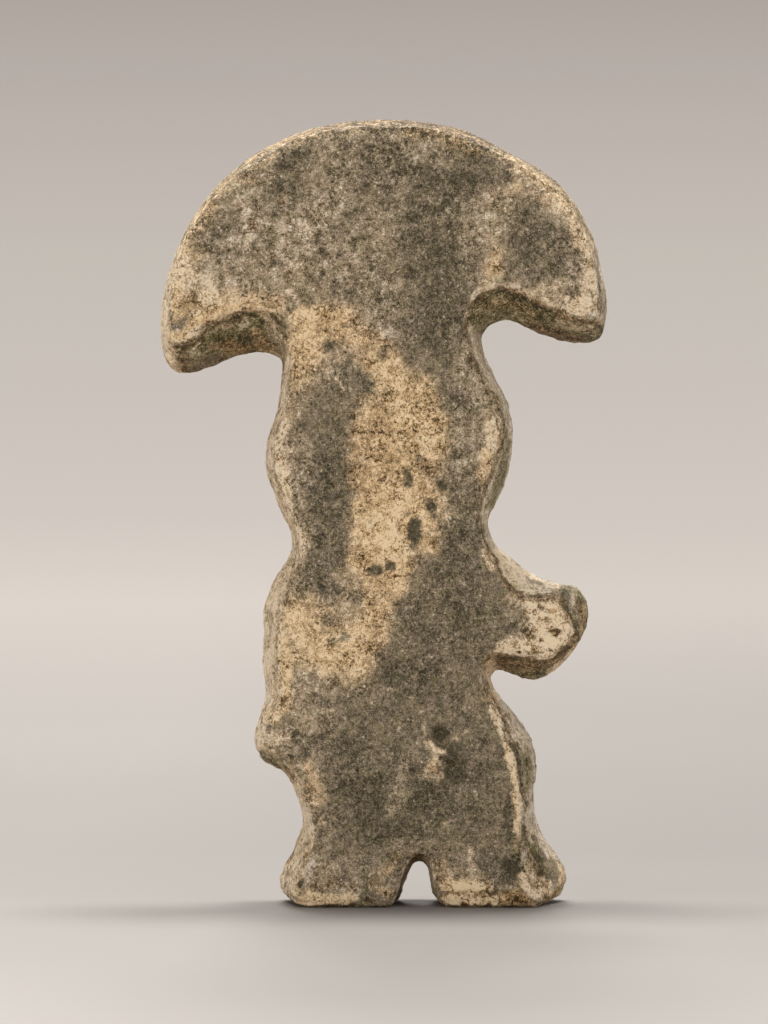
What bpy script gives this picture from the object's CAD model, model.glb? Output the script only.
import math

import bmesh
import bpy
import numpy as np
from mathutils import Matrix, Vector, noise


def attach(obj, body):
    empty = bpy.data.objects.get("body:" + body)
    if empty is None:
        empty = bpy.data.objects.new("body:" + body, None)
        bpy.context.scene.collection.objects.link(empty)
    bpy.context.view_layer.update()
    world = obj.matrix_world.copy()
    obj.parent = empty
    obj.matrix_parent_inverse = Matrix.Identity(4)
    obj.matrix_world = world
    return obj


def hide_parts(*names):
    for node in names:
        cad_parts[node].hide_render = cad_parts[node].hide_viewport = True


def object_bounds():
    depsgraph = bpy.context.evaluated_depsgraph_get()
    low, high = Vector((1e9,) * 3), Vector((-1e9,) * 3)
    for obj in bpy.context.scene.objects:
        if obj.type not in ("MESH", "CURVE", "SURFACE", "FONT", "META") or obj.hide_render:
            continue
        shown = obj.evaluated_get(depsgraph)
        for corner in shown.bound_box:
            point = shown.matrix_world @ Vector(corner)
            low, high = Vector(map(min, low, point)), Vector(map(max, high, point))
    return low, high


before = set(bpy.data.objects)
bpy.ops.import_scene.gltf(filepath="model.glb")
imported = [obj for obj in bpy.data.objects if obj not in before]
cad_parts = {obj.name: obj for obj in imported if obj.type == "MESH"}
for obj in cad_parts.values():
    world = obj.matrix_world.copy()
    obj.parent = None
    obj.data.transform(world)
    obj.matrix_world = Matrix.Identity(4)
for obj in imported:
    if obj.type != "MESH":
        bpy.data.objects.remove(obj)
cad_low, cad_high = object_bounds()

# A stone figurine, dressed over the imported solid. The photographed side faces along -Y, up is +Z.
# Lengths are metres unless a name or comment says millimetres.

MM = 0.001

# Camera: level, square on to the photographed side, at mid height
EYE_DISTANCE = 1.2
EYE_HEIGHT = 0.0996
LENS_MM = 167.87
SENSOR_MM = 36.0
NEAREST_SEEN = 0.01
FARTHEST_SEEN = 30.0

# Stone mesh
VOXEL = 0.00088
SMOOTHING_STEPS = 3
SMOOTHING_SHARE = 0.5
# The mesh is finer along the photographed side's edge and round its small features
EDGE_ZONE_DEPTH = 0.0034
EDGE_TURN = (-0.97, -0.30)
FINE_REACH_MM = 0.9
# Edges and grooves show by how far this much smoothing would move them
MEASURE_STEPS = 14
MEASURE_SHARE = 0.6

# Noises over the surface: size of the lumps, seed and octaves
NOISES = {
    "swell": (0.016, 1, 3),
    "lumps": (0.0042, 2, 3),
    "grit": (0.0018, 3, 2),
    "crumble": (0.0026, 4, 3),
    "cloud": (0.022, 5, 3),
    "patch": (0.007, 6, 3),
    "crumbs": (0.0026, 7, 3),
    "warp x": (0.005, 8, 3),
    "warp z": (0.005, 9, 3),
    "fine warp x": (0.0016, 10, 3),
    "fine warp z": (0.0016, 11, 3),
    "drift x": (0.012, 12, 3),
    "drift z": (0.012, 13, 3),
}
# How far apart two seeds lie in the noise
SEED_STRIDE = (17.3, -5.1, 9.7)

# Relief over the solid's surface
SWELL_DEPTH = 0.00040
LUMP_DEPTH = 0.00034
GRIT_DEPTH = 0.00022
CRUMBLE_DEPTH = 0.00080
PIT_COUNT = 420
PIT_SEED = 11
PIT_RADII_MM = (0.7, 1.6)
PIT_DEPTH_SHARES = (0.15, 0.45)
# The relief fades out above the soles, which stay flat on the floor
SOLE_FADE = 0.0012

# How far behind the photographed side the creases and the panels fade out
CREASE_DEPTHS = (0.008, 0.014)
FLANK_DEPTHS = (0.018, 0.027)
# Between these sizes of a normal's share along Y the rim gives way to the two faces
RIM_TURN = (0.35, 0.75)
# Half the width, in mm, of the step at a panel's border
BORDER_SOFTNESS = 0.3

# Where strokes start and end to fade, in half widths
STAIN_FADE = (0.45, 1.45)
MARK_FADE = (0.6, 1.3)
EDGE_STAIN_FADE = (0.5, 1.4)
CREASE_FADE = (0.3, 1.5)
RIDGE_FADE = (0.2, 1.4)
HOLLOW_FADE = (0.3, 1.0)
DIRT_FADE = (0.5, 1.4)
WEAR_FADE = (0.4, 1.3)

# Colour of the stone at each of these tones, as display values from 0 to 255
TONE_STOPS = (0.17, 0.27, 0.37, 0.47, 0.57, 0.67, 0.77, 0.87)
GREY_COLOURS = (
    (60, 53, 37), (81, 73, 56), (109, 98, 80), (137, 123, 101),
    (164, 147, 123), (188, 171, 149), (210, 197, 181), (233, 223, 210),
)
TAN_COLOURS = (
    (72, 51, 26), (99, 73, 41), (129, 100, 62), (157, 128, 87),
    (181, 150, 107), (204, 172, 127), (225, 194, 149), (241, 217, 178),
)
MOSS_COLOURS = (
    (46, 42, 23), (71, 65, 37), (101, 93, 57), (133, 124, 86),
    (161, 151, 116), (185, 175, 145), (206, 198, 174), (226, 220, 202),
)
CHALK_COLOURS = (
    (66, 58, 50), (92, 82, 72), (118, 107, 95), (145, 132, 119),
    (170, 157, 143), (194, 181, 167), (216, 203, 190), (236, 226, 215),
)

# What is painted onto each vertex: tone, shares of tan, chalk and moss, and strength of the grain
LAYERS = ("tone", "tan", "chalk", "moss", "grain")
PAINTS = {
    "bare": (0.40, 0.08, 0.0, 0.0, 1.1),
    "cream": (0.77, 0.65, 0, 0, 1.6),
    "bright tan": (0.68, 1, 0, 0, 1.5),
    "tan": (0.61, 0.9, 0, 0, 1.5),
    "soft tan": (0.54, 0.4, 0, 0, 1.4),
    "pink": (0.755, 0.65, 0.1, 0, 1.8),
    "chalk": (0.73, 0.3, 0.6, 0, 1.4),
    "brown": (0.38, 0.65, 0, 0, 1.5),
    "deep brown": (0.27, 0.65, 0, 0, 1.6),
    "olive": (0.30, 0.2, 0, 1.2, 1.6),
    "khaki": (0.44, 0.4, 0, 1.1, 1.7),
    "ochre": (0.33, 1, 0, 0.3, 1.6),
    "flank": (0.62, 0.2, 0.1, 0.5, 1.7),
    "pale flank": (0.69, 0.3, 0.1, 0.4, 1.4),
    "gold": (0.73, 1, 0, 0, 1.9),
    "worn tan": (0.505, 0.8, 0, 0, 1.5),
    "pale": (0.57, 0.25, 0.2, 0, 1.7),
    "mid": (0.48, 0.15, 0, 0, 1.5),
    "grey": (0.40, 0.03, 0, 0, 1.1),
    "dark": (0.345, 0, 0, 0, 1.3),
    "darkest": (0.27, 0, 0, 0, 1.2),
    "moss": (0.39, 0.1, 0, 0.8, 1.3),
    "slate": (0.25, 0, 0, 0.4, 0.8),
    "dirt": (0.17, 0.5, 0, 0.3, 0.6),
}

# Stains on the photographed side: paint, half width in mm, strength, then points (x, z) in mm
STAINS = (
    # Headdress, general colour
    ("mid", 17, 0.9, ((-45, 163), (-25, 176), (0, 180), (25, 176), (45, 163))),
    ("grey", 7, 0.4, ((-38, 172), (-20, 180), (-5, 178))),
    # Headdress, tan along the rim and above the undersides
    ("tan", 3.2, 0.8, ((-55, 150), (-53, 162), (-50, 170), (-45, 176))),
    ("tan", 3.2, 0.8, ((40, 184), (48, 176), (53, 165), (55, 155))),
    ("soft tan", 2.8, 0.55, ((-44, 178), (-38, 184), (-30, 190), (-20, 195))),
    ("soft tan", 2.6, 0.6, ((24, 194), (30, 191), (38, 185))),
    ("mid", 3.5, 0.8, ((-12, 196), (0, 197), (12, 196), (24, 193))),
    ("dark", 2.8, 0.9, ((-6, 198), (2, 198), (12, 197), (25, 193))),
    ("darkest", 2.2, 0.6, ((4, 198.4), (14, 197.4), (26, 193.4))),
    ("deep brown", 2.6, 0.7, ((6, 196), (14, 195.4), (23, 192.6))),
    ("worn tan", 3, 0.5, ((-38, 185), (-30, 190.4))),
    ("grey", 2.6, 0.7, ((-43, 181), (-36, 187.5), (-28, 192), (-12, 197))),
    ("tan", 4.5, 0.6, ((-53, 152), (-52, 160), (-49, 165))),
    ("tan", 3, 0.8, ((-48, 150), (-42, 152), (-35, 153), (-28, 152))),
    ("soft tan", 5, 0.4, ((-40, 158), (-28, 158), (-18, 158))),
    ("mid", 5, 0.5, ((-38, 166), (-28, 168), (-22, 172))),
    ("pale", 4.5, 0.7, ((-22, 171), (-17, 175), (-14, 178))),
    ("pale", 4.2, 0.6, ((-39, 170), (-33, 173), (-33, 177))),
    ("pale", 4, 0.5, ((-28, 165), (-20, 165))),
    ("mid", 7, 0.8, ((-8, 162), (-3, 156), (2, 148))),
    ("cream", 3.4, 0.7, ((-51, 161), (-47, 157), (-44, 154))),
    ("brown", 2.3, 0.6, ((-50.5, 150.5), (-48.5, 151.5))),
    # Headdress, dark clouds
    ("dark", 4.5, 0.5, ((-47, 170), (-40, 173))),
    ("dark", 4, 0.8, ((-24, 184), (-22, 188))),
    ("dark", 4.5, 0.5, ((-8, 190), (-2, 189), (3, 186))),
    ("dark", 3.6, 0.7, ((-5, 184), (0, 183))),
    ("dark", 3.6, 0.9, ((9, 184), (20, 183), (29, 184))),
    ("darkest", 3.8, 1, ((11, 183), (20, 182.5))),
    ("slate", 1.8, 0.6, ((11.6, 183.6), (15, 183), (18.6, 183))),
    ("dark", 3, 0.5, ((24, 188), (30, 187))),
    ("dark", 7.6, 0.9, ((12, 178), (11, 170), (13, 160), (17, 153), (13, 147))),
    ("darkest", 4, 0.5, ((11, 168), (14, 158), (16, 152), (13, 146))),
    ("dark", 3.5, 0.6, ((33, 168), (34, 163))),
    ("darkest", 2.4, 0.5, ((12, 147), (14, 140))),
    ("dark", 4, 0.5, ((12, 138), (14, 125))),
    ("dark", 6.5, 0.85, ((36, 172), (38, 167), (40, 163))),
    # Headdress, tan streaks on the right wing
    ("soft tan", 3.2, 0.7, ((29, 179), (28, 171), (28, 162), (27, 158))),
    ("tan", 2.2, 0.7, ((28, 164), (28, 160))),
    ("bright tan", 1.8, 0.6, ((33, 181), (34, 182))),
    ("soft tan", 3.2, 0.8, ((36, 184), (40, 181), (44, 177))),
    ("cream", 3, 0.7, ((45, 178), (50, 171), (52, 163), (52, 155), (49, 152))),
    ("chalk", 1.4, 0.6, ((51, 170), (55, 160), (56, 150))),
    ("soft tan", 3, 0.8, ((32, 153), (44, 155), (53, 152))),
    ("cream", 2.2, 0.8, ((47, 152), (54, 153))),
    ("dark", 1.1, 0.7, ((46, 155), (48, 155))),
    ("cream", 1.8, 0.9, ((55.4, 156), (55.6, 148.6))),
    # Neck
    ("soft tan", 6, 0.8, ((-15, 149), (-13, 142), (-21, 137), (-16, 135))),
    ("tan", 3.4, 0.7, ((-19, 149), (-18.5, 139))),
    ("bright tan", 1.8, 0.7, ((-18.2, 150), (-18, 142))),
    ("tan", 4.5, 0.8, ((-10, 147), (-5, 143), (0, 138), (4, 133))),
    ("tan", 3.4, 0.8, ((-3, 137), (1, 131), (4, 126))),
    ("grey", 3.8, 0.8, ((9, 139), (10, 134), (13, 130))),
    ("mid", 3, 0.7, ((-4, 148), (0, 146))),
    ("tan", 3, 0.8, ((-20, 139), (-22, 132))),
    ("soft tan", 2.5, 0.6, ((-22, 131), (-22, 126))),
    ("tan", 2.2, 0.8, ((-23, 148.6), (-22.4, 145), (-23.6, 138), (-24, 133))),
    ("soft tan", 1.8, 0.9, ((22.6, 139), (22.2, 134))),
    ("bright tan", 2.4, 0.6, ((-21, 150), (-20, 143))),
    ("worn tan", 3.4, 0.9, ((-15, 149), (-13, 144))),
    ("dark", 3.4, 0.85, ((-14, 130), (-10, 133), (-6, 132))),
    # Head
    ("grey", 6, 0.8, ((-14, 126), (-13, 118), (-14, 112))),
    ("dark", 5.6, 0.85, ((-15, 109), (-15, 100), (-15, 90))),
    ("darkest", 3, 0.4, ((-15, 104), (-15, 94))),
    ("soft tan", 3.4, 0.9, ((-25, 126), (-27, 116), (-26, 106), (-24, 98))),
    ("pink", 2.6, 0.8, ((-27, 122), (-27, 108), (-24, 99))),
    ("cream", 2.4, 0.6, ((-27, 116), (-26.5, 104))),
    ("mid", 5, 0.8, ((21, 134), (22, 118), (20, 108))),
    ("grey", 4, 0.8, ((19, 104), (20, 96))),
    ("tan", 5.6, 0.9, ((8, 129), (8, 122))),
    ("tan", 8, 0.9, ((3, 121), (4, 112), (4, 104), (3, 97), (0, 90))),
    ("tan", 3.6, 0.85, ((-4, 104), (-5, 95), (-6, 88))),
    ("worn tan", 4.5, 0.9, ((-4, 121), (-4, 108))),
    ("tan", 3.6, 0.8, ((12, 124), (14, 118), (12, 113))),
    ("mid", 3, 0.85, ((-21, 118), (-21, 104), (-20.5, 92))),
    ("cream", 2.8, 0.9, ((-22, 92), (-22.5, 88), (-24.4, 85))),
    ("tan", 4, 0.85, ((12, 103), (13, 98), (11, 94))),
    ("bright tan", 4.3, 0.8, ((1, 103), (1, 100), (-1, 94))),
    ("worn tan", 4, 0.85, ((-2, 126), (1, 119), (1, 112))),
    ("bright tan", 3, 0.8, ((6, 126), (9, 122), (11, 116))),
    ("worn tan", 3, 0.7, ((7, 131), (9, 128))),
    ("gold", 3.4, 0.8, ((2, 97), (3, 91))),
    ("bright tan", 3.2, 0.9, ((3, 89), (4, 80))),
    ("grey", 1.4, 0.7, ((-1, 139), (-1, 140))),
    ("cream", 2.2, 0.9, ((27.8, 122), (28, 117), (27.2, 113))),
    ("soft tan", 1.8, 0.8, ((27, 124.5), (28.4, 124.5))),
    ("bright tan", 2.8, 0.8, ((26.2, 112), (24.6, 104))),
    ("mid", 3, 0.7, ((22, 140), (25, 130))),
    ("soft tan", 2.6, 0.6, ((16, 102), (16, 96))),
    # Chest and shoulder
    ("dark", 6, 0.8, ((22, 102), (20, 90), (19, 78), (19, 70))),
    ("soft tan", 9, 0.9, ((-20, 76), (-14, 68), (-12, 60))),
    ("soft tan", 5, 0.8, ((-23, 62), (-24, 50))),
    ("tan", 7, 0.6, ((-20, 74), (-14, 67), (-10, 63))),
    ("tan", 4.6, 0.9, ((-8, 62), (-4, 68), (-2, 76), (-3, 84))),
    ("soft tan", 3.6, 0.8, ((-9, 83), (-9, 76))),
    ("bright tan", 4, 0.5, ((-25, 66), (-19, 63), (-14, 62))),
    ("dark", 3.6, 0.8, ((-17, 82), (-14, 80))),
    ("bright tan", 2.6, 0.5, ((-22, 73), (-15, 65), (-5, 70))),
    ("grey", 3, 0.6, ((-22, 81), (-18, 82))),
    ("dark", 5, 0.85, ((2, 59), (8, 58), (14, 62))),
    ("darkest", 4, 0.4, ((3, 58), (10, 58))),
    ("dark", 3.6, 0.5, ((21, 84), (21, 78))),
    ("dark", 5, 0.5, ((8, 76), (10, 68), (12, 60))),
    ("moss", 2.4, 0.5, ((17, 61), (20, 65))),
    # Arm
    ("pink", 7, 1, ((38, 72), (44, 70), (46, 67))),
    ("pink", 2.4, 0.9, ((31, 65), (36, 66))),
    ("grey", 3.4, 0.9, ((28, 73), (33, 74), (33, 70.5))),
    ("soft tan", 1.6, 0.7, ((31, 78.5), (35, 77))),
    ("cream", 3, 0.7, ((43.5, 75), (45.5, 70), (42, 65))),
    ("pink", 1.4, 0.9, ((26, 88.6), (27.4, 86.4))),
    # Hips, kilt and legs
    ("grey", 12, 0.8, ((-12, 45), (0, 40), (12, 40))),
    ("mid", 6.5, 0.75, ((-20, 54), (-18, 46), (-21, 38))),
    ("soft tan", 3, 0.7, ((-22, 53), (-21, 49))),
    ("grey", 2.6, 0.7, ((22, 59), (23, 52))),
    ("dark", 9, 0.45, ((-8, 30), (4, 28), (12, 30))),
    ("darkest", 4, 0.7, ((-4, 30), (-2, 20))),
    ("mid", 3, 0.5, ((-17, 23), (-15, 20))),
    ("mid", 2.4, 0.6, ((2, 15), (6, 16), (11, 15))),
    ("darkest", 3.2, 0.8, ((-10, 30), (-3, 28))),
    ("darkest", 2.8, 0.6, ((-3, 22), (4, 20))),
    ("darkest", 3.2, 0.8, ((8, 28), (14, 29))),
    ("darkest", 1.8, 0.5, ((21, 24), (23, 22))),
    ("darkest", 2.2, 0.5, ((31.5, 28), (31.5, 20))),
    ("dark", 5, 0.5, ((-14, 40), (-4, 40), (3, 36))),
    ("dark", 4, 0.6, ((20, 44), (22, 38))),
    ("mid", 1.6, 0.9, ((2, 23), (4, 30), (5, 36))),
    ("slate", 2.8, 0.8, ((18, 39), (19, 36), (17, 33))),
    ("tan", 1.5, 0.8, ((-26, 68), (-26, 60), (-27, 52), (-28, 47))),
    ("tan", 2.4, 0.7, ((-19, 35), (-18, 28))),
    ("cream", 1.6, 0.8, ((-30, 42), (-25, 43))),
    ("cream", 0.9, 0.8, ((26.8, 52), (28.6, 47), (30, 43), (31.4, 39), (32.6, 34), (33.3, 30))),
    ("tan", 1.4, 0.6, ((33.2, 29), (34, 22), (34, 16))),
    ("gold", 1.2, 0.8, ((31.2, 41), (32.4, 36), (34.2, 27), (34.4, 19))),
    ("bright tan", 1.8, 0.7, ((-25.2, 66), (-25, 60), (-25.2, 51))),
    ("soft tan", 1.8, 0.7, ((10.5, 34.5), (13.5, 34.3))),
    ("grey", 1.8, 0.7, ((-16.5, 38.4), (-16.5, 36.6))),
    # Left foot
    ("mid", 5, 0.6, ((-20, 10), (-10, 8), (-2, 8))),
    ("soft tan", 3, 0.7, ((-20, 11), (-14, 9))),
    ("chalk", 3.6, 1, ((-22, 19), (-21, 11))),
    ("cream", 2.4, 0.6, ((-22, 17), (-22, 13))),
    ("deep brown", 0.9, 0.7, ((-18.6, 16), (-18.6, 17))),
    ("tan", 2.4, 0.8, ((-25.5, 5.5), (-24, 5))),
    ("gold", 2.4, 1, ((-24, 3.2), (-20, 2.8))),
    ("gold", 1.6, 0.9, ((-21, 2.4), (-14, 2), (-8, 2.2))),
    ("cream", 1.6, 0.8, ((-25.4, 8), (-25.2, 4.6))),
    ("dark", 1.2, 0.7, ((-17, 5), (-16, 4.2))),
    ("brown", 1, 0.5, ((-20, 5.8), (-12, 5.4), (-6, 6))),
    ("brown", 1.2, 0.7, ((-3, 6), (1, 9), (3, 12))),
    ("tan", 1.2, 0.8, ((-1, 4.6), (0.4, 4.4))),
    ("dirt", 0.5, 1, ((-24, 0.1), (-14, -0.1), (-2, 0))),
    # Right foot
    ("mid", 6, 0.6, ((18, 10), (30, 8), (38, 8))),
    ("tan", 2.6, 0.6, ((14, 9), (16, 7))),
    ("soft tan", 2, 0.7, ((18, 9), (24, 8))),
    ("cream", 1.2, 0.7, ((22.4, 14.4), (22.7, 11))),
    ("gold", 1.8, 1, ((16, 5.4), (22, 5), (26, 5))),
    ("gold", 1.4, 1, ((15, 1.9), (24, 1.6), (28, 1.7))),
    ("dirt", 0.5, 1, ((13, 0), (26, -0.1), (42, 0.1))),
    ("dark", 3.4, 0.8, ((26, 12), (28, 9), (31, 11))),
    ("slate", 1.8, 0.9, ((31.5, 11), (32.5, 9))),
    ("olive", 2.4, 0.9, ((35, 14), (36.6, 11.4), (38, 7.6))),
    ("slate", 1, 0.9, ((36.2, 13.4), (38.4, 9.6))),
    ("cream", 1, 0.95, ((34.8, 7.4), (36.2, 5), (37.8, 3), (39.2, 2.2), (40.1, 3.6), (40.1, 6))),
    ("worn tan", 1.2, 0.7, ((37.6, 5.4), (38.6, 4.4))),
    ("ochre", 1.7, 0.9, ((30.6, 2.6), (33.5, 3.2), (35.4, 1.6))),
)

# Small crisp marks, in the same form
MARKS = (
    ("slate", 1.9, 0.95, ((7.6, 93.8), (7.8, 96.4))),
    ("slate", 0.8, 0.7, ((7.4, 91.6), (7.2, 90.6))),
    ("slate", 1.1, 0.85, ((6.3, 106.4), (6, 109.4))),
    ("slate", 1.4, 0.85, ((11.2, 101.8), (12, 100.6))),
    ("dark", 0.8, 0.8, ((12.4, 99.6), (12.7, 98.4))),
    ("slate", 1.5, 0.9, ((-2.4, 84.8), (-1.6, 85.2))),
    ("brown", 1, 0.7, ((6, 86.5), (7.2, 86.6))),
    ("cream", 0.5, 0.8, ((-12, 133), (-10, 131))),
    ("cream", 0.5, 0.8, ((-24, 155), (-21, 152))),
    ("cream", 1.6, 0.7, ((-53.5, 144), (-50, 143.6), (-47.6, 146))),
    ("dark", 0.6, 0.8, ((-28, 162), (-25, 162))),
    ("cream", 0.7, 0.7, ((-35, 171), (-34, 168))),
    ("brown", 1.2, 0.6, ((-33.6, 183), (-32.6, 183))),
    # Dark pits in the pale patch on the arm
    ("deep brown", 0.8, 0.9, ((39, 76.4), (39.6, 75.4))),
    ("deep brown", 0.8, 0.9, ((41.6, 70), (42.8, 69.2), (43.6, 69.6))),
    ("deep brown", 0.6, 0.9, ((35.8, 69.5), (36.2, 69.3), (38.2, 69.8))),
    ("brown", 0.7, 0.9, ((41.6, 74.8), (43, 74.7))),
    ("deep brown", 0.45, 0.9, ((40.8, 72.9), (41.1, 71.4))),
    # The chipped ridge and the hollow on the right hip
    ("cream", 0.5, 0.5, ((9.9, 46), (10.2, 43.2))),
    ("tan", 1.3, 0.5, ((13, 37), (12, 35))),
    ("cream", 0.6, 0.95, ((10.8, 41.8), (12.2, 40.6), (13.2, 39.4), (15.2, 39.3))),
    ("cream", 0.5, 0.6, ((12.6, 38.4), (13, 36.4))),
    ("slate", 2.4, 1, ((14, 43.8), (14.4, 42.8))),
    ("slate", 1.5, 0.9, ((16.4, 38.6), (17.4, 36), (16.2, 33))),
    ("cream", 0.6, 0.6, ((-14.8, 49.5), (-13.2, 49.5))),
    ("cream", 0.9, 0.9, ((34.6, 25.6), (36.4, 24.6))),
    ("cream", 0.6, 0.8, ((34.2, 24), (34.4, 20.5))),
    ("dark", 0.6, 0.8, ((34.9, 21.5), (36, 17))),
)

# Small round spots, in the same form, with one spot at each point
SPOTS = (
    ("deep brown", 1.8, 0.7, ((13.1, 91.5),)),
    ("dark", 1.8, 0.7, ((-13.7, 72.5), (-21, 188.1))),
    ("grey", 1.8, 0.7, ((-7, 78),)),
    ("darkest", 1.8, 0.7, ((6.2, 160.1),)),
    ("slate", 1.4, 0.9, ((14.6, 106.4), (1.6, 86.1))),
    ("dark", 1.4, 0.7, ((-10, 68),)),
    ("dark", 1.4, 0.9, ((-13.6, 141.2), (-9.7, 134.6))),
    ("dark", 1, 0.7, ((-13, 67), (17.1, 67))),
    ("deep brown", 1, 0.7, ((-33, 172), (14.4, 7.1))),
    ("brown", 1, 0.7, ((-25.7, 178),)),
    ("darkest", 1, 0.7, ((24.1, 33),)),
    ("cream", 1, 0.7, ((-15.5, 21.5),)),
    ("darkest", 1, 0.9, ((-20.8, 5.8),)),
    ("deep brown", 1, 0.9, ((-3.9, 1.6), (1, 3.4))),
    ("grey", 0.7, 0.9, ((8.8, 112.7),)),
    ("cream", 0.7, 0.9, ((15.1, 103), (15.9, 98.5))),
    ("cream", 0.7, 0.7, ((-39.8, 162.1), (-19.8, 172.1), (4.1, 46), (1.9, 55), (-17.4, 55), (15.5, 21.8))),
    ("chalk", 0.7, 0.9, (
        (-44.9, 168.9), (-37, 168.2), (-35, 171.3), (-21.1, 172.1), (-22.4, 169.4), (-41.6, 161.6),
        (-48.9, 157.1),
    )),
    ("deep brown", 0.7, 0.9, ((35.8, 74.4), (37.7, 64.7))),
    ("darkest", 0.7, 0.9, ((14.5, 38),)),
    ("deep brown", 0.45, 0.9, (
        (37.5, 74.5), (38.9, 72.3), (43.1, 72.8), (37.5, 67.8), (39.5, 67.4), (42.1, 65.1),
        (35.8, 66.5), (36.5, 63.9), (33.8, 64.3), (32.8, 66.2),
    )),
    ("cream", 0.45, 0.7, ((18.1, 42.6), (20.4, 44.4))),
)

# Stains on what shows of the rim from the photographed side, in the same form
RIM_STAINS = (
    ("dark", 4, 0.8, ((-42, 183), (-33, 190), (-20, 196), (0, 198.5), (14, 197.5), (26, 194))),
    ("cream", 2.4, 0.9, ((-57, 150), (-56.5, 140), (-53, 137.5))),
    ("chalk", 2, 0.7, ((55, 165), (57, 158), (57, 148))),
    ("cream", 3.6, 0.85, ((-24, 93), (-27, 86), (-29, 78))),
    ("pink", 3, 0.6, ((-30, 74), (-30, 62), (-30, 50))),
    ("cream", 2.2, 0.7, ((-32, 43), (-30, 41))),
    ("olive", 2, 0.8, ((-31, 37.5), (-26, 35.5))),
    ("cream", 4, 1, ((-22, 20), (-24, 12))),
)

# Lines that both a panel and a crease follow: points (x, z) in mm
NECK_EDGE = ((20.6, 146.4), (21.5, 143.3), (22.7, 137.8), (25.4, 132))
ARM_TOP_EDGE = ((26.6, 89.8), (28.3, 88), (28.9, 85.5), (30, 83), (32, 80.7), (35, 79), (38.8, 78.3),
                (42, 79.1), (44.6, 80.2))
ARM_END_EDGE = ((44.9, 79), (45.3, 75.2), (47, 72.6), (48.4, 69.6))
ARM_UNDER_EDGE = ((26.8, 63.2), (30, 63), (34, 62.6), (38, 62), (40.4, 61.6))
HIP_EDGE = ((28, 52.4), (30, 48), (31.6, 44), (33, 40), (34, 36), (34.4, 31), (35.2, 27), (37, 25.4))
FOOT_EDGE = ((35.2, 21), (36, 17), (37.8, 12.5), (39.6, 9.4))

# Panels in these paints lie on the face and take no stains
FACE_PAINTS = ("tan", "brown", "deep brown")
# Panels of the rim with a sharp border on the photographed side: paint, then border points (x, z)
FLANKS = (
    # The worn upper edge of the headdress
    ("deep brown", (
        (-14, 195.6), (-8, 196.6), (0, 197.2), (8, 196.8), (18, 194.6), (26, 191.6), (29, 193.5),
        (20, 199), (0, 202), (-16, 199),
    )),
    ("brown", ((-43, 179.5), (-36, 186), (-28, 191), (-14, 195.6), (-16, 200), (-32, 196), (-44, 184))),
    # The face just above the left wing's lower edge
    ("tan", (
        (-54, 142.6), (-49.9, 142.6), (-48.4, 144.4), (-47.2, 146.2), (-43.8, 147.8), (-40.2, 149),
        (-36.6, 150), (-33.6, 150.8), (-34, 152.6), (-38, 152.2), (-43, 151), (-47.5, 149),
        (-49.6, 146.5), (-51, 144.8), (-54.5, 145),
    )),
    # Under the left wing and under the right wing
    ("olive", (
        (-52.4, 141.6), (-49.3, 141.3), (-47.6, 142.4), (-45.4, 145.2), (-43, 146.9), (-40, 148.1),
        (-36.5, 149), (-34.3, 149.9), (-31.6, 149.4), (-28, 146.5), (-25.5, 143), (-24.6, 139),
        (-26, 136), (-31, 138), (-40, 136), (-47, 133), (-51, 133), (-52.4, 136.5),
    )),
    ("olive", (
        (20.6, 146.4), (22.1, 151.4), (25.1, 155), (29.5, 155.7), (34.4, 154.1), (38.7, 151.9),
        (43.1, 149.8), (46.2, 148.2), (51.1, 147.3), (56, 147.2), (57, 141), (50, 140), (40, 142),
        (33, 146), (28, 147), (23.5, 144.5),
    )),
    # Neck and head, right
    ("pale flank", (*NECK_EDGE, (28.5, 129), (33, 128), (31, 136), (26, 144), (22, 147))),
    ("flank", (
        (28.5, 129), (29.8, 121), (29.6, 116), (28, 110), (26.3, 106), (24.8, 101), (23.8, 96.8),
        (30, 96), (34, 108), (35, 120), (33, 129),
    )),
    # Arm: above, at the end and below
    ("pale flank", ((25.2, 94), *ARM_TOP_EDGE, (46, 83), (40, 85), (34, 89), (29, 93), (27, 97))),
    ("moss", ((44.6, 80.2), *ARM_END_EDGE, (54, 69), (54, 80), (48, 84))),
    ("olive", (
        (25, 61), *ARM_UNDER_EDGE, (42.6, 62.4), (44.8, 64.2), (47.2, 66.6), (48.4, 69.6), (54, 69),
        (50, 60), (40, 55), (28.5, 59),
    )),
    # Hip and right foot
    ("flank", ((25.4, 60), (26.6, 56), *HIP_EDGE, (41, 26), (41, 38), (37, 50), (30, 60), (26, 60))),
    ("pale flank", (
        (34.8, 23), *FOOT_EDGE, (41, 7.6), (41, 5), (41, 2.4), (43, -1), (49, 2), (49, 11), (44, 18),
        (41, 26), (37, 25.2),
    )),
)

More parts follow.
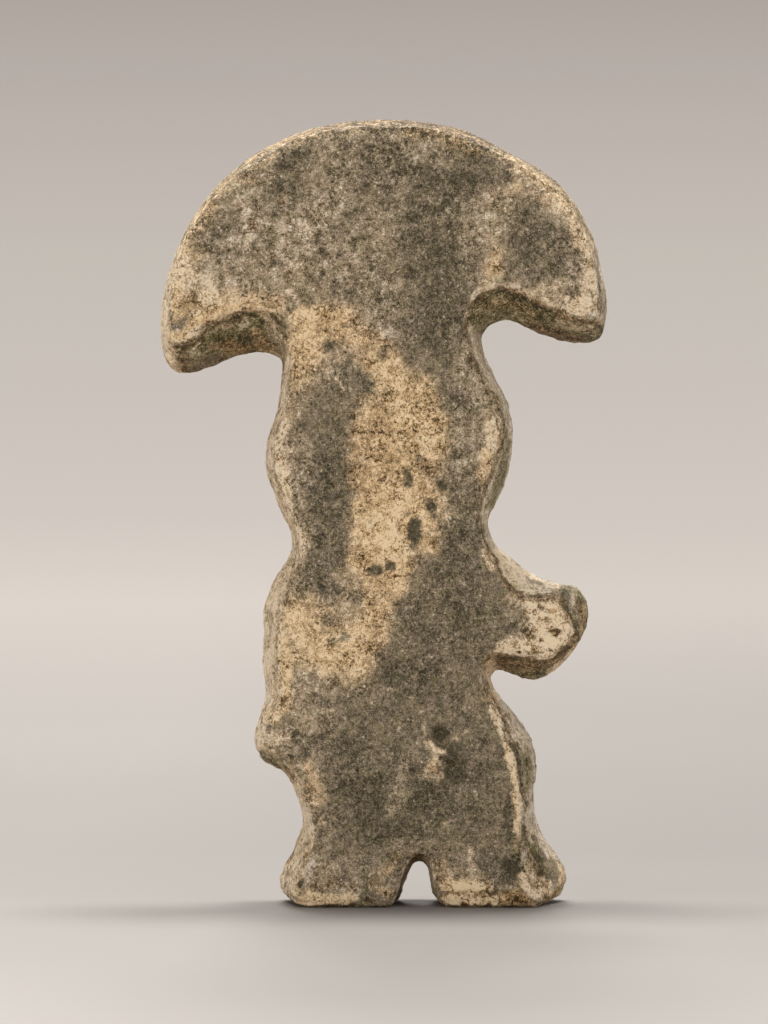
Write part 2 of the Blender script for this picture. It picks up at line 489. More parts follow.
# Stains inside the panels, in the same form
FLANK_STAINS = (
    # Under the left wing
    ("deep brown", 1.2, 0.8, ((-51, 139.5), (-50, 136.5))),
    ("deep brown", 1.6, 0.7, ((-52, 136.5), (-48.5, 134.4))),
    ("soft tan", 1.2, 0.8, ((-49, 140), (-46, 141))),
    ("deep brown", 0.8, 0.8, ((-47, 141), (-44, 141.6), (-40, 142.2))),
    ("grey", 1.8, 0.7, ((-48, 137), (-42, 139))),
    ("deep brown", 1.4, 0.7, ((-42, 137.6), (-36, 139))),
    ("ochre", 2, 0.8, ((-39, 141.5), (-33, 141), (-29, 141))),
    ("deep brown", 1.8, 0.8, ((-35, 146.5), (-32, 144.5), (-30.5, 143))),
    ("khaki", 1.6, 1, ((-47.5, 139.5), (-44, 144.2), (-40, 145.8), (-36, 147), (-33, 147.6))),
    ("soft tan", 0.8, 0.7, ((-42, 146.2), (-38, 147.2), (-35, 148.2))),
    ("soft tan", 1.8, 0.6, ((-28, 146.5), (-26, 140))),
    # Under the right wing
    ("deep brown", 1.3, 0.85, ((31, 149), (35, 147.6), (42, 145.4), (50, 143.4))),
    ("ochre", 1.6, 0.6, ((25, 152), (31, 152.5), (38, 149.5))),
    ("khaki", 2.2, 0.7, ((24.5, 148), (29, 149.5), (34, 148.5))),
    ("soft tan", 1.2, 0.6, ((44, 147.8), (54, 145.4))),
    # Head, right
    ("deep brown", 1.3, 0.6, ((30.5, 119), (30.5, 116))),
    ("moss", 1.2, 0.8, ((30.6, 126), (31.4, 118), (30, 109), (26.6, 101))),
    ("chalk", 1.2, 0.6, ((31, 126), (32.4, 119))),
    # Arm
    ("cream", 3, 1, ((29.4, 88), (32.2, 83.5), (37, 81))),
    ("grey", 0.6, 0.7, ((36.5, 82.5), (38, 81.8), (40, 81.4))),
    ("dark", 1.4, 0.8, ((45.8, 78), (46.6, 75.5))),
    ("slate", 0.8, 0.9, ((46.5, 73.4), (48.2, 70.6))),
    ("deep brown", 0.8, 0.9, ((49.8, 76.7), (49.4, 75.5))),
    ("chalk", 0.8, 0.7, ((47.8, 78.5), (47.4, 76))),
    ("ochre", 1.2, 0.6, ((50.6, 75), (50.5, 70), (48, 66))),
    ("deep brown", 1.1, 0.9, ((26, 62), (30, 62), (34, 61.2), (40, 60.4), (43.5, 62.2), (46.8, 65.4))),
    ("ochre", 1.2, 0.5, ((30, 59.8), (38, 58.5))),
    ("gold", 0.9, 0.7, ((42, 58.6), (46, 61.6), (49, 65.6))),
    # Hip and right foot
    ("moss", 1.4, 0.8, ((34.8, 41), (36, 36), (36, 30))),
    ("cream", 2.8, 1, ((26.4, 59.4), (28.6, 54), (30, 52))),
    ("pale flank", 2.4, 0.9, ((31, 50.5), (34.5, 46), (36.5, 41))),
    ("deep brown", 0.6, 0.8, ((31.3, 48.2), (31.8, 47.4))),
    ("dark", 0.6, 0.8, ((33.4, 41), (34.4, 37), (34.9, 31))),
    ("chalk", 2, 0.6, ((37.4, 23), (40, 18), (42, 12.6))),
    ("olive", 1.2, 0.9, ((37.6, 14.4), (39.2, 10.6), (40.6, 8.6))),
    ("slate", 0.7, 0.9, ((38.8, 12.6), (39.2, 11.4))),
    ("grey", 1.8, 0.8, ((42.2, 10), (43, 6.4))),
    ("cream", 0.6, 0.9, ((42, 5.8), (41.9, 3))),
    ("ochre", 0.8, 0.8, ((42.4, 1.6), (45.2, 4.6))),
    ("gold", 0.9, 0.9, ((45.2, 9.2), (45.8, 7.4), (45.4, 5.6))),
    ("dark", 0.5, 0.7, ((38, 17), (41, 11.5))),
)

# Cracks and creases cut into the photographed side: half width and depth in mm, then points (x, z)
CREASES = (
    (0.45, 0.5, ((25.6, 92), *ARM_TOP_EDGE)),
    (0.55, 0.6, (*ARM_END_EDGE, (47.2, 66.6), (44.8, 64.2), (42.6, 62.4), (40.4, 61.6))),
    (0.5, 0.5, ((25.2, 61.5), *ARM_UNDER_EDGE)),
    (0.5, 0.5, HIP_EDGE),
    (0.45, 0.4, FOOT_EDGE),
    (0.7, 1.2, ((39.4, 8.2), (40.4, 7.6), (41.2, 6.2), (41.2, 4), (40.9, 1.6))),
    (0.45, 0.4, ((33.8, 9.5), (34, 5.4), (35.6, 3.4), (37.6, 1.6))),
    (0.4, 0.3, ((-26.8, 73), (-27.2, 63.2), (-27.6, 53.4), (-28.4, 48))),
    (0.45, 0.45, ((14.6, 3.2), (17, 3.9), (20, 3.6), (22.5, 3.4), (24.5, 4), (27, 3.6))),
    (0.45, 0.4, ((27, 3.6), (29, 4.4), (31.5, 3.6), (34, 2.4))),
    (0.5, 0.55, (
        (-52.4, 141.4), (-49.3, 141.1), (-47.4, 142.2), (-45.2, 145), (-43, 146.7), (-40, 147.9),
        (-36.5, 148.8), (-34.3, 149.7), (-31.6, 149.2),
    )),
    (0.6, 0.55, ((20.6, 146.4), (22.1, 151.4), (25.1, 154.6), (29.5, 155.4), (34.4, 153.8), (38.7, 151.7))),
    (0.55, 0.5, ((38.7, 151.7), (43.1, 149.6), (46.2, 148.2), (51.1, 147.3), (54.5, 147.2))),
    (0.45, 0.4, NECK_EDGE),
    (0.5, 0.45, (
        (28.5, 129), (29.4, 121), (29.2, 116), (27.5, 110), (25.8, 106), (24.4, 101), (23.4, 96.8),
    )),
    (0.45, 0.45, ((-28, 149.5), (-26, 146.4), (-24.6, 143))),
    (0.45, 0.4, ((-31, 150.5), (-27.4, 148.6), (-24.6, 145.6))),
    (0.5, 0.18, ((9, 17), (9.2, 21), (8.4, 26))),
)

# Low ridges raised on the photographed side, in the same form
RIDGES = (
    (0.8, 0.1, (
        (-53, 143), (-50, 143), (-48.6, 144.8), (-47.4, 146.6), (-43.8, 148.2), (-40.2, 149.4),
        (-36.6, 150.4), (-33.6, 151.2),
    )),
    (0.8, 0.1, (
        (22, 153.4), (25, 156.2), (29.5, 157), (34.6, 155.5), (39, 153.4), (43.6, 151.3), (50, 149),
    )),
    (0.9, 0.22, ((11.2, 40.6), (13.2, 39.6), (14.8, 39))),
    (0.9, 0.4, (
        (26.8, 52.4), (28.7, 47.3), (30.2, 43), (31.6, 39), (32.7, 35), (33.1, 31), (34, 27),
        (34.2, 22), (34.2, 16),
    )),
    (0.9, 0.25, ((34.8, 7.4), (36.2, 5), (37.8, 3), (39.2, 2.2), (40.1, 3.6), (40.1, 6))),
    (0.8, 0.25, ((-25.6, 73), (-26, 63.2), (-26.5, 53.4), (-27.4, 48))),
)

# Hollows that are cut into the photographed side: x, z, radius and depth in mm
HOLLOWS = (
    (14.1, 43.5, 3, 1.1), (14.4, 37.8, 0.9, 0.8), (18, 35, 4, 0.5), (7.6, 95.2, 2.6, 0.35),
    (6, 108, 1.8, 0.25), (11.5, 101.5, 1.7, 0.4), (14.5, 106.5, 1.6, 0.35), (-2, 85.2, 2, 0.45),
    (1.5, 86, 1.8, 0.4), (13, 91.5, 1.8, 0.35), (39.4, 75.8, 1.1, 0.6), (42.6, 69.6, 1.4, 0.6),
    (35.8, 74.3, 1, 0.5), (37.7, 64.6, 0.9, 0.5), (42.3, 74.8, 1, 0.4), (24, 33, 1.6, 0.5),
    (-19, 16.5, 1.6, 0.45), (-14, 130, 2.2, 0.3), (-23, 187, 3.2, 0.3), (6, 160, 1.6, 0.35),
    (14.3, 7, 1.4, 0.35), (36.4, 11.2, 3, 0.6),
)

# Fine detail in the stone's colour: scale per metre, detail and roughness of each noise
GRAINS = {
    "fine": (3000, 2, 0.6),
    "middle": (1000, 3, 0.6),
    "coarse": (330, 3, 0.6),
    "clumps": (240, 2, 0.5),
    "pits": (1250, 2, 0.75),
    "threads": (850, 1, 0.5),
    "tracks": (1100, 1, 0.5),
    "track groups": (420, 2, 0.5),
    "track breaks": (1500, 1, 0.5),
    "crust": (430, 5, 0.72),
    "specks": (560, 3, 0.6),
}
PALE_GRAIN_SCALE = 720
# The grain is stretched along Y and, for the tracks, along Z
GRAIN_STRETCH = (1.0, 0.6, 1.0)
TRACK_STRETCH = (1.0, 1.0, 0.6)
GRAIN_STRENGTH = 1.18
PALE_GRAIN_GLOW = 0.24
ROUGHNESS_RANGE = (0.95, 0.80)
STONE_SPECULAR = 0.3
BUMP_STRENGTH = 0.8
BUMP_DEPTH = 0.00034

# Stage: a floor that sweeps up into a wall all round
FLOOR_RADIUS = 1.0
SWEEP_RADIUS = 1.7
HUB_RADIUS = 0.001
STAGE_TURNS = 96
FLOOR_STEPS = 8
SWEEP_STEPS = 24
SWEEP_TURN = 66
# Paper colours by height above the floor, and its shade along Y and along X, as display values
HEIGHT_PLACES = (0.0, 0.05, 0.10, 0.27, 0.35, 0.41, 0.46, 0.51)
HEIGHT_COLOURS = (
    (156, 150, 144), (170, 163, 156), (166, 159, 153), (164, 158, 151),
    (160, 152, 147), (154, 147, 142), (150, 142, 136), (147, 139, 133),
)
DEPTH_PLACES = (-0.27, -0.16, -0.06, 0.02, 0.19, 0.56, 1.30)
DEPTH_SHADES = (255, 242, 236, 230, 223, 226, 242)
SIDE_PLACES = (-0.30, -0.10, 0.0, 0.10, 0.30)
SIDE_SHADES = (255, 255, 246, 243, 241)
# The shade along X gives way to one even shade by this height
SIDE_SHADE_TOP = 0.10
EVEN_SHADE = (0.93, 0.93, 0.93, 1.0)
PAPER_ROUGHNESS = 0.9
PAPER_SPECULAR = 0.1

# Soft round lamps: name, place, height that it is aimed at, size in metres and power in watts
LAMPS = (
    ("top_right", (0.51, 0.66, 3.91), 0, 1.2, 140),
    ("top_left", (-0.77, 0.58, 3.88), 0, 1.2, 112),
    ("back", (-0.20, 5.00, 3.27), 0, 1.8, 230),
    ("high_left", (-0.75, -0.96, 2.74), 0.1, 0.9, 10),
    ("high_right", (1.09, -1.39, 2.43), 0.1, 0.9, 6),
    ("front", (-0.42, -1.38, 0.20), 0.1, 0.26, 4.8),
    ("left", (-1.35, -0.50, 0.36), 0.1, 0.5, 2.8),
    ("right", (1.35, -0.50, 0.36), 0.1, 0.5, 4.5),
)
SURROUND_STRENGTH = 0.08


def linear(colour):
    """A display colour from 0 to 255 as the linear colour that a shader takes."""
    shares = [c / 255 for c in colour]
    return tuple(c / 12.92 if c <= 0.04045 else ((c + 0.055) / 1.055) ** 2.4 for c in shares) + (1.0,)


def ease(low, high, value):
    """A smooth step from 0 at low to 1 at high."""
    share = np.clip((value - low) / (high - low), 0, 1)
    return share * share * (3 - 2 * share)


def noise_at(points, name):
    """One of the named noises at each point, smooth and from about -1 to 1."""
    size, seed, octaves = NOISES[name]
    shift = Vector([seed * stride for stride in SEED_STRIDE])
    return np.array([noise.fractal(Vector(p) / size + shift, 1.0, 2.0, octaves) for p in points])


def shift_at(points, name):
    """A pair of noises that moves each point's spot (x, z)."""
    return np.stack([noise_at(points, name + " x"), noise_at(points, name + " z")], axis=1)


def vectors(items, field):
    """A vector field of a mesh's vertices or faces as an array."""
    flat = np.zeros(len(items) * 3)
    items.foreach_get(field, flat)
    return flat.reshape(-1, 3)


def add_object(name, data):
    """A new object in the scene that holds the data."""
    added = bpy.data.objects.new(name, data)
    bpy.context.scene.collection.objects.link(added)
    return added


def place(mesh, points):
    """Moves the mesh's vertices to the points."""
    mesh.vertices.foreach_set("co", points.ravel())
    mesh.update()


def smoothed(points, edges, steps, share):
    """The points, moved by a share towards their neighbours' mean in each step."""
    points = points.copy()
    count = sum(np.bincount(edges[:, end], minlength=len(points)) for end in (0, 1))
    for _ in range(steps):
        total = np.zeros_like(points)
        for here, there in ((0, 1), (1, 0)):
            for axis in range(3):
                total[:, axis] += np.bincount(edges[:, here], points[edges[:, there], axis], len(points))
        points += share * (total / count[:, None] - points)
    return points


def stroke_distance(spots, stroke):
    """Distance in mm from each spot (x, z) to a stroke's line."""
    best = np.full(len(spots), np.inf)
    for start, end in zip(stroke[:-1], stroke[1:]):
        start = np.array(start, float)
        along = np.array(end, float) - start
        share = np.clip((spots - start) @ along / max(along @ along, 1e-9), 0, 1)
        best = np.minimum(best, np.linalg.norm(spots - start - share[:, None] * along, axis=1))
    return best


def stroke_share(spots, stroke, width, fade, rough=0.0):
    """1 on a stroke's line, fading to 0 between two distances from it."""
    return 1 - ease(*fade, stroke_distance(spots, stroke) / width + rough)


def inside(spots, border):
    """1 inside a closed border of points (x, z) in mm, 0 outside, with a soft step at the line."""
    crossed = np.zeros(len(spots), bool)
    x, z = spots[:, 0], spots[:, 1]
    for (x0, z0), (x1, z1) in zip(border, border[1:] + border[:1]):
        if z0 != z1:
            crossed ^= ((z0 > z) != (z1 > z)) & (x < x0 + (z - z0) * (x1 - x0) / (z1 - z0))
    away = stroke_distance(spots, border + border[:1])
    return ease(-BORDER_SOFTNESS, BORDER_SOFTNESS, np.where(crossed, away, -away))


def refine(mesh):
    """Halves the mesh's spacing where it has to be fine."""
    centres = vectors(mesh.polygons, "center")
    turn = vectors(mesh.polygons, "normal")[:, 1]
    flattest, steepest = EDGE_TURN
    front = turn < steepest
    chosen = front & (turn > flattest) & (centres[:, 1] < cad_low[1] + EDGE_ZONE_DEPTH)
    spots = centres[:, (0, 2)] / MM
    features = [(width, line) for width, _, line in CREASES + RIDGES]
    features += [(radius, ((x, z), (x, z))) for x, z, radius, _ in HOLLOWS]
    for width, line in features:
        chosen |= front & (stroke_distance(spots, line) < width + FINE_REACH_MM)
    bm = bmesh.new()
    bm.from_mesh(mesh)
    bm.faces.ensure_lookup_table()
    cut = {e for index in np.flatnonzero(chosen) for e in bm.faces[index].edges}
    bmesh.ops.subdivide_edges(bm, edges=sorted(cut, key=lambda e: e.index), cuts=1, use_grid_fill=True)
    bm.to_mesh(mesh)
    bm.free()


def stone_mesh(node):
    """A fine and slightly smoothed mesh of the solid, and its edges."""
    helper = add_object("remesh_helper", node.data.copy())
    remesh = helper.modifiers.new("remesh", "REMESH")
    remesh.mode = "VOXEL"
    remesh.voxel_size = VOXEL
    remesh.adaptivity = 0.0
    bpy.context.view_layer.update()
    evaluated = helper.evaluated_get(bpy.context.evaluated_depsgraph_get())
    mesh = bpy.data.meshes.new_from_object(evaluated)
    mesh.name = "figurine_stone"
    bpy.data.objects.remove(helper)
    refine(mesh)
    edges = np.zeros(len(mesh.edges) * 2, int)
    mesh.edges.foreach_get("vertices", edges)
    edges = edges.reshape(-1, 2)
    place(mesh, smoothed(vectors(mesh.vertices, "co"), edges, SMOOTHING_STEPS, SMOOTHING_SHARE))
    return mesh, edges


def rim_share(facing):
    """1 on the rim, fading to 0 on the photographed and the carved side."""
    return 1 - ease(*RIM_TURN, np.abs(facing[:, 1]))


def front_share(points, facing, near, far):
    """1 on what shows from the photographed side, fading to 0 between two depths behind it."""
    return (1 - ease(near, far, points[:, 1] - cad_low[1])) * ease(-0.05, 0.12, -facing[:, 1])


def carve(mesh, edges):
    """Cuts swells, lumps, grit, pits, creases and crumbled edges; returns where edges stand out, in mm."""
    points = vectors(mesh.vertices, "co")
    facing = vectors(mesh.vertices, "normal")
    smooth = smoothed(points, edges, MEASURE_STEPS, MEASURE_SHARE)
    edge = ((points - smooth) * facing).sum(1) / MM
    grit = noise_at(points, "grit")
    crumble = noise_at(points, "crumble")
    near = ease(0.3, 0.7, -facing[:, 1])
    rim = rim_share(facing)
    # The photographed side lies on the solid's box, so it is only cut; elsewhere relief goes both ways
    level = 0.5 * near
    depth = SWELL_DEPTH * (level + 0.5 * noise_at(points, "swell"))
    depth += LUMP_DEPTH * (1 + 0.6 * rim) * (level + 0.5 * noise_at(points, "lumps"))
    depth += GRIT_DEPTH * (1 + rim) * (level + 0.5 * grit)
    depth += CRUMBLE_DEPTH * ease(0.05, 0.25, edge) * ease(0.05, 0.5, crumble)
    rng = np.random.default_rng(PIT_SEED)
    for index in rng.choice(len(points), PIT_COUNT, replace=False):
        radius = rng.uniform(*PIT_RADII_MM) * MM
        away = np.linalg.norm(points - points[index], axis=1) / radius
        depth += rng.uniform(*PIT_DEPTH_SHARES) * radius * (1 - ease(0.2, 1.0, away))
    spots = points[:, (0, 2)] / MM
    for x, z, radius, cut in HOLLOWS:
        depth += cut * MM * near * stroke_share(spots, ((x, z), (x, z)), radius, HOLLOW_FADE)
    spots += 0.5 * np.stack([grit, crumble], axis=1)
    broken = MM * front_share(points, facing, *CREASE_DEPTHS) * (0.8 + 0.5 * crumble)
    for width, cut, line in CREASES:
        depth += cut * broken * stroke_share(spots, line, width, CREASE_FADE)
    for width, rise, line in RIDGES:
        depth -= rise * broken * stroke_share(spots, line, width, RIDGE_FADE)
    depth *= ease(0.0, SOLE_FADE, points[:, 2])
    points -= facing * depth[:, None]
    place(mesh, np.clip(points, np.array(cad_low), np.array(cad_high)))
    return edge


def blend_in(layers, paint, weight):
    """Paints over the layers with one paint, by the weight at each vertex."""
    for row, value in enumerate(PAINTS[paint]):
        layers[row] += weight * (value - layers[row])


def paint_strokes(layers, strokes, spots, share, fade, rough=0.0):
    """Paints the strokes, each by its strength and by the share at each vertex."""
    for paint, width, strength, line in strokes:
        blend_in(layers, paint, share * strength * stroke_share(spots, line, width, fade, rough))


def paint_carved_side(layers, facing, edge, cloud, patch, crumbs):
    """Worn tan high places, dark recesses and weathered clouds on the side that faces away."""
    far = ease(-0.2, 0.3, facing[:, 1])
    blend_in(layers, "mid", far * ease(-0.3, 0.4, cloud))
    blend_in(layers, "soft tan", far * 0.8 * ease(0.0, 0.6, patch + cloud))
    blend_in(layers, "dark", far * 0.6 * ease(0.15, 0.7, -cloud))
    blend_in(layers, "soft tan", far * 0.7 * ease(0.02, 0.16, edge + 0.05 * crumbs))
    blend_in(layers, "darkest", far * 0.55 * ease(0.02, 0.14, -edge))


def paint_rim(layers, facing, patch, crumbs):
    """The rim: pale on its left, greenish on its right, tan above, dark brown beneath."""
    rim = rim_share(facing)
    leftward = rim * ease(0.2, 0.8, -facing[:, 0])
    rightward = rim * ease(0.2, 0.8, facing[:, 0])
    blend_in(layers, "mid", rim * 0.8)
    blend_in(layers, "pink", leftward * 0.75)
    blend_in(layers, "chalk", leftward * 0.5 * ease(0.0, 0.5, patch))
    blend_in(layers, "chalk", rightward * 0.6 * ease(-0.3, 0.3, patch))
    blend_in(layers, "moss", rightward * 0.5 * ease(-0.1, 0.4, -patch))
    blend_in(layers, "brown", ease(0.15, 0.5, facing[:, 2]) * ease(-0.95, -0.75, facing[:, 1]) * 0.6)
    blend_in(layers, "deep brown", ease(0.2, 0.8, facing[:, 2]) * 0.3 * ease(-0.1, 0.4, crumbs))
    blend_in(layers, "brown", rim * ease(0.25, 0.7, -facing[:, 2]) * 0.7)
    blend_in(layers, "deep brown", rim * 0.3 * ease(0.25, 0.6, -patch))


def stain(mesh, edge):
    """Writes the stone's tone, its shares of tan, chalk and moss, and its grain onto the mesh."""
    points = vectors(mesh.vertices, "co")
    facing = vectors(mesh.vertices, "normal")
    cloud = noise_at(points, "cloud")
    patch = noise_at(points, "patch")
    crumbs = noise_at(points, "crumbs")
    plain = points[:, (0, 2)] / MM
    warp = shift_at(points, "warp")
    fine_warp = shift_at(points, "fine warp")
    layers = np.zeros((len(LAYERS), len(points)))
    blend_in(layers, "bare", 1.0)
    paint_carved_side(layers, facing, edge, cloud, patch, crumbs)
    # The photographed side
    near = ease(0.2, 0.6, -facing[:, 1])
    spots = plain + 0.9 * shift_at(points, "drift") + 1.1 * warp + 0.6 * fine_warp
    paint_strokes(layers, STAINS, spots, near, STAIN_FADE)
    dots = tuple((*look, (middle, middle)) for *look, middles in SPOTS for middle in middles)
    paint_strokes(layers, MARKS + dots, plain + 0.5 * fine_warp, near, MARK_FADE, 0.2 * crumbs)
    # The rim, and what shows of it from the photographed side
    paint_rim(layers, facing, patch, crumbs)
    turned = ease(0.2, 0.5, 1 - np.abs(facing[:, 1])) * ease(0.10, 0.30, -facing[:, 1])
    turned *= 1 - ease(0.80, 0.93, -facing[:, 1])
    paint_strokes(layers, RIM_STAINS, plain + 1.2 * warp + 0.5 * fine_warp, turned, EDGE_STAIN_FADE)
    spots = plain + 0.3 * fine_warp
    front = front_share(points, facing, *FLANK_DEPTHS)
    flank = np.zeros(len(points))
    for paint, border in FLANKS:
        share = front * inside(spots, border)
        blend_in(layers, paint, 0.85 * share)
        if paint not in FACE_PAINTS:
            flank = np.maximum(flank, share)
    paint_strokes(layers, FLANK_STAINS, spots, flank, EDGE_STAIN_FADE, 0.2 * crumbs)
    # Dirt in the creases, most in the deep ones, and pale wear on the ridges
    spots = plain + 0.5 * fine_warp
    front = front_share(points, facing, *CREASE_DEPTHS)
    for width, cut, line in CREASES:
        dirt = min(1.25 * cut, 1.0) * stroke_share(spots, line, width, DIRT_FADE, 0.3 * crumbs)
        blend_in(layers, "dirt", front * dirt * ease(-0.8, 0.2, crumbs))
    for width, _, line in RIDGES:
        wear = 0.45 * stroke_share(spots, line, width, WEAR_FADE)
        blend_in(layers, "cream", front * wear * ease(-0.7, 0.1, crumbs))
    # Mottling everywhere, with a weaker grain on the rim's far part
    rim = rim_share(facing)
    layers[4] += 0.15 * rim - 0.35 * rim * ease(0.004, 0.010, points[:, 1] - cad_low[1])
    layers[0] += 0.02 * cloud + layers[4] * (0.03 * patch + 0.03 * crumbs)
    layers[1] += 0.10 * patch
    for name, values in zip(LAYERS, layers):
        attribute = mesh.attributes.new(name, "FLOAT", "POINT")
        attribute.data.foreach_set("value", np.clip(values, 0, 2).astype(np.float32))


class Nodes:
    """A new material, with short calls for making its nodes."""

    def __init__(self, name):
        self.material = bpy.data.materials.new(name)
        self.material.use_nodes = True
        self.tree = self.material.node_tree

    def feed(self, node, inputs):
        """Links or sets a node's inputs."""
        for name, value in inputs.items():
            if isinstance(value, bpy.types.NodeSocket):
                self.tree.links.new(value, node.inputs[name])
            else:
                node.inputs[name].default_value = value

    def add(self, kind, inputs=None, **settings):
        node = self.tree.nodes.new(kind)
        for name, value in settings.items():
            setattr(node, name, value)
        self.feed(node, inputs or {})
        return node

    def surfaced(self, inputs):
        """The material, once its shader has its inputs."""
        self.feed(self.tree.nodes["Principled BSDF"], inputs)
        return self.material

    def maths(self, operation, first, second=0.0):
        return self.add("ShaderNodeMath", {0: first, 1: second}, operation=operation).outputs[0]

    def multiplied(self, first, second):
        """The product of two vectors or colours."""
        return self.add("ShaderNodeVectorMath", {0: first, 1: second}, operation="MULTIPLY").outputs[0]

    def weighted(self, *parts):
        """The sum of the parts, each a value, the level taken off it and its weight."""
        total = None
        for value, level, weight in parts:
            part = self.maths("MULTIPLY", self.maths("SUBTRACT", value, level), weight)
            total = part if total is None else self.maths("ADD", total, part)
        return total

    def scaled(self, value, low, high, to_low, to_high):
        settings = {"Value": value, "From Min": low, "From Max": high, "To Min": to_low, "To Max": to_high}
        return self.add("ShaderNodeMapRange", settings).outputs["Result"]

    def grain(self, where, name):
        """One of the named grains, from 0 to 1."""
        scale, detail, roughness = GRAINS[name]
        settings = {"Vector": where, "Scale": scale, "Detail": detail, "Roughness": roughness}
        return self.add("ShaderNodeTexNoise", settings).outputs["Fac"]

    def lines(self, where, name, width):
        """1 along crooked lines where a grain crosses its middle, fading to 0 beside them."""
        away = self.maths("ABSOLUTE", self.maths("SUBTRACT", self.grain(where, name), 0.5))
        return self.scaled(away, 0.0, width, 1.0, 0.0)

    def attribute(self, name):
        return self.add("ShaderNodeAttribute", attribute_name=name).outputs["Fac"]

    def ramp(self, value, stops, colours):
        node = self.add("ShaderNodeValToRGB", {"Fac": value})
        elements = node.color_ramp.elements
        while len(elements) < len(stops):
            elements.new(0.5)
        for element, stop, colour in zip(elements, stops, colours):
            element.position = stop
            element.color = linear(colour)
        return node.outputs["Color"]

    def mix(self, share, first, second):
        """Two colours mixed; the numbers are the mix node's sockets for colour."""
        return self.add("ShaderNodeMix", {0: share, 6: first, 7: second}, data_type="RGBA").outputs[2]


def stone_material():
    """Weathered stone: stained, speckled and pitted."""
    n = Nodes("weathered_stone")
    where = n.multiplied(n.add("ShaderNodeTexCoord").outputs["Object"], GRAIN_STRETCH)
    tone, tan, chalk, moss, grain = [n.attribute(name) for name in LAYERS]
    fine, middle, coarse = [n.grain(where, name) for name in ("fine", "middle", "coarse")]
    # Stains break up at their edges as the grain does
    ragged = n.weighted((middle, 0.5, 0.9), (coarse, 0.5, 0.4), (fine, 0.5, 0.5))
    ragged_tan = n.maths("MULTIPLY", ragged, n.scaled(tan, 0.05, 0.5, 0, 1))
    tan = n.scaled(n.maths("ADD", tan, ragged_tan), 0.04, 0.9, 0, 1)
    # Small crooked pits, in clumps
    pitted = n.weighted((n.grain(where, "pits"), 0, 1), (n.grain(where, "clumps"), 0.5, 0.55))
    pit = n.scaled(pitted, 0.56, 0.66, 0, 1)
    # Pale threads and dark worm-like tracks, which come in groups and have breaks
    thread = n.lines(where, "threads", 0.07)
    track = n.lines(n.multiplied(where, TRACK_STRETCH), "tracks", 0.06)
    track = n.maths("MULTIPLY", track, n.scaled(n.grain(where, "track groups"), 0.42, 0.56, 0, 1))
    track = n.maths("MULTIPLY", track, n.scaled(n.grain(where, "track breaks"), 0.44, 0.54, 0, 1))
    # Pale crusty patches
    crust = n.scaled(n.grain(where, "crust"), 0.585, 0.68, 0, 1)
    # Pale grains, few and bright
    pale_cells = n.add("ShaderNodeTexVoronoi", {"Vector": where, "Scale": PALE_GRAIN_SCALE})
    pale_chance = n.add("ShaderNodeSeparateColor", {"Color": pale_cells.outputs["Color"]}).outputs["Green"]
    pale_size = n.scaled(pale_chance, 0.78, 1.0, 0.0, 0.28)
    pale = n.scaled(n.maths("SUBTRACT", pale_size, pale_cells.outputs["Distance"]), 0.0, 0.12, 0, 1)
    # What each detail adds to the tone; pits and tracks take from it, and most in the tan
    swing = n.weighted(
        (fine, 0.5, 0.50),
        (middle, 0.5, 0.38),
        (coarse, 0.5, n.scaled(grain, 1.0, 1.5, 0.16, 0.44)),
        (pit, 0.25, n.scaled(tan, 0, 1, -0.08, -0.22)),
        (thread, 0.25, 0.08),
        (track, 0.15, n.scaled(tan, 0, 1, -0.07, -0.17)),
        (crust, 0.0, 0.13),
    )
    swing = n.maths("MULTIPLY", swing, n.maths("MULTIPLY", grain, GRAIN_STRENGTH))
    total = n.maths("ADD", n.maths("ADD", tone, swing), n.maths("MULTIPLY", pale, PALE_GRAIN_GLOW))
    # Colour: grey, then tan, chalk and moss over it, and green specks where there is little tan
    tan = n.maths("SUBTRACT", tan, n.maths("MULTIPLY", crust, 0.35))
    colour = n.mix(tan, n.ramp(total, TONE_STOPS, GREY_COLOURS), n.ramp(total, TONE_STOPS, TAN_COLOURS))
    chalk = n.scaled(n.maths("ADD", chalk, ragged), 0.35, 0.85, 0, 0.9)
    colour = n.mix(chalk, colour, n.ramp(total, TONE_STOPS, CHALK_COLOURS))
    moss = n.scaled(n.maths("SUBTRACT", moss, ragged), 0.25, 0.85, 0, 0.85)
    specks = n.scaled(n.grain(where, "specks"), 0.46, 0.66, 0.0, 0.5)
    moss = n.maths("MAXIMUM", moss, n.maths("MULTIPLY", specks, n.scaled(tan, 0, 1, 1, 0.1)))
    colour = n.mix(moss, colour, n.ramp(total, TONE_STOPS, MOSS_COLOURS))
    height = n.weighted(
        (fine, 0, 0.6), (middle, 0, 1), (pit, 0, -0.5), (track, 0, -0.3), (thread, 0, 0.15), (crust, 0, 0.3)
    )
    bump = n.add("ShaderNodeBump", {"Height": height, "Strength": BUMP_STRENGTH, "Distance": BUMP_DEPTH})
    return n.surfaced({
        "Base Color": colour,
        "Roughness": n.scaled(fine, 0.3, 0.7, *ROUGHNESS_RANGE),
        "Specular IOR Level": STONE_SPECULAR,
        "Normal": bump.outputs["Normal"],
    })


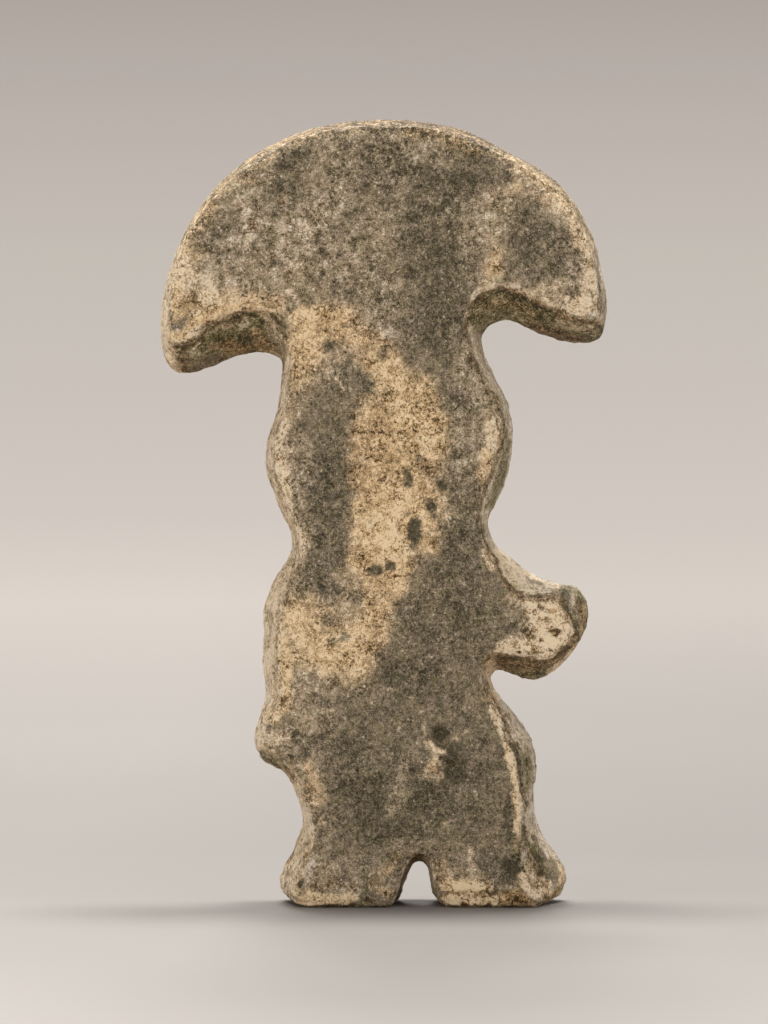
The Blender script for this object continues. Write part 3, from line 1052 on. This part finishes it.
def stage_material():
    """A matt paper whose shade drifts slowly with height and across the floor."""
    n = Nodes("studio_paper")
    where = n.add("ShaderNodeNewGeometry").outputs["Position"]
    axes = n.add("ShaderNodeSeparateXYZ", {"Vector": where}).outputs
    ramps = []
    for along, places, colours in (
        (axes["Z"], HEIGHT_PLACES, HEIGHT_COLOURS),
        (axes["Y"], DEPTH_PLACES, [(s, s, s) for s in DEPTH_SHADES]),
        (axes["X"], SIDE_PLACES, [(s, s, s) for s in SIDE_SHADES]),
    ):
        low, high = places[0], places[-1]
        stops = [(p - low) / (high - low) for p in places]
        ramps.append(n.ramp(n.scaled(along, low, high, 0, 1), stops, colours))
    by_height, by_depth, by_side = ramps
    by_side = n.mix(n.scaled(axes["Z"], 0.0, SIDE_SHADE_TOP, 0, 1), by_side, EVEN_SHADE)
    return n.surfaced({
        "Base Color": n.multiplied(n.multiplied(by_height, by_depth), by_side),
        "Roughness": PAPER_ROUGHNESS,
        "Specular IOR Level": PAPER_SPECULAR,
    })


def build_stage():
    """The floor and wall, turned about the Z axis from one profile of radius and height."""
    profile = [(HUB_RADIUS + FLOOR_RADIUS * k / FLOOR_STEPS, 0.0) for k in range(FLOOR_STEPS + 1)]
    for step in range(1, SWEEP_STEPS + 1):
        angle = math.radians(SWEEP_TURN) * step / SWEEP_STEPS
        reach, rise = math.sin(angle), 1 - math.cos(angle)
        profile.append((FLOOR_RADIUS + SWEEP_RADIUS * reach, SWEEP_RADIUS * rise))
    rows = len(profile)
    verts = []
    faces = []
    for step in range(STAGE_TURNS):
        angle = 2 * math.pi * step / STAGE_TURNS
        verts += [(r * math.cos(angle), r * math.sin(angle), z) for r, z in profile]
        here, there = step * rows, (step + 1) % STAGE_TURNS * rows
        faces += [(here + k, there + k, there + k + 1, here + k + 1) for k in range(rows - 1)]
    faces.append([step * rows for step in range(STAGE_TURNS)])
    mesh = bpy.data.meshes.new("studio_sweep")
    mesh.from_pydata(verts, [], faces)
    mesh.polygons.foreach_set("use_smooth", [True] * len(mesh.polygons))
    mesh.materials.append(stage_material())
    sweep = add_object("studio_sweep", mesh)


def build_lights():
    for name, spot, aim_height, size, power in LAMPS:
        light = bpy.data.lights.new(name, "AREA")
        light.shape = "DISK"
        light.size = size
        light.energy = power
        lamp = add_object(name, light)
        lamp.location = spot
        aim = Vector((0, 0, aim_height)) - Vector(spot)
        lamp.rotation_euler = aim.to_track_quat("-Z", "Y").to_euler()
        lamp.visible_camera = False
    world = bpy.data.worlds.new("studio")
    world.use_nodes = True
    background = world.node_tree.nodes["Background"]
    background.inputs["Color"].default_value = (1.0, 1.0, 1.0, 1.0)
    background.inputs["Strength"].default_value = SURROUND_STRENGTH
    bpy.context.scene.world = world


def build_camera():
    data = bpy.data.cameras.new("camera")
    data.lens = LENS_MM
    data.sensor_width = SENSOR_MM
    data.clip_start = NEAREST_SEEN
    data.clip_end = FARTHEST_SEEN
    camera = add_object("camera", data)
    camera.location = (0.0, cad_low[1] - EYE_DISTANCE, EYE_HEIGHT)
    camera.rotation_euler = (math.pi / 2, 0.0, 0.0)
    bpy.context.scene.camera = camera


mesh, mesh_edges = stone_mesh(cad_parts["figurine"])
stain(mesh, carve(mesh, mesh_edges))
mesh.polygons.foreach_set("use_smooth", [True] * len(mesh.polygons))
mesh.materials.clear()
mesh.materials.append(stone_material())
stone = add_object("figurine_stone", mesh)
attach(stone, "root")
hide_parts("figurine")

build_stage()
build_lights()
build_camera()
bpy.context.scene.view_settings.view_transform = "Standard"
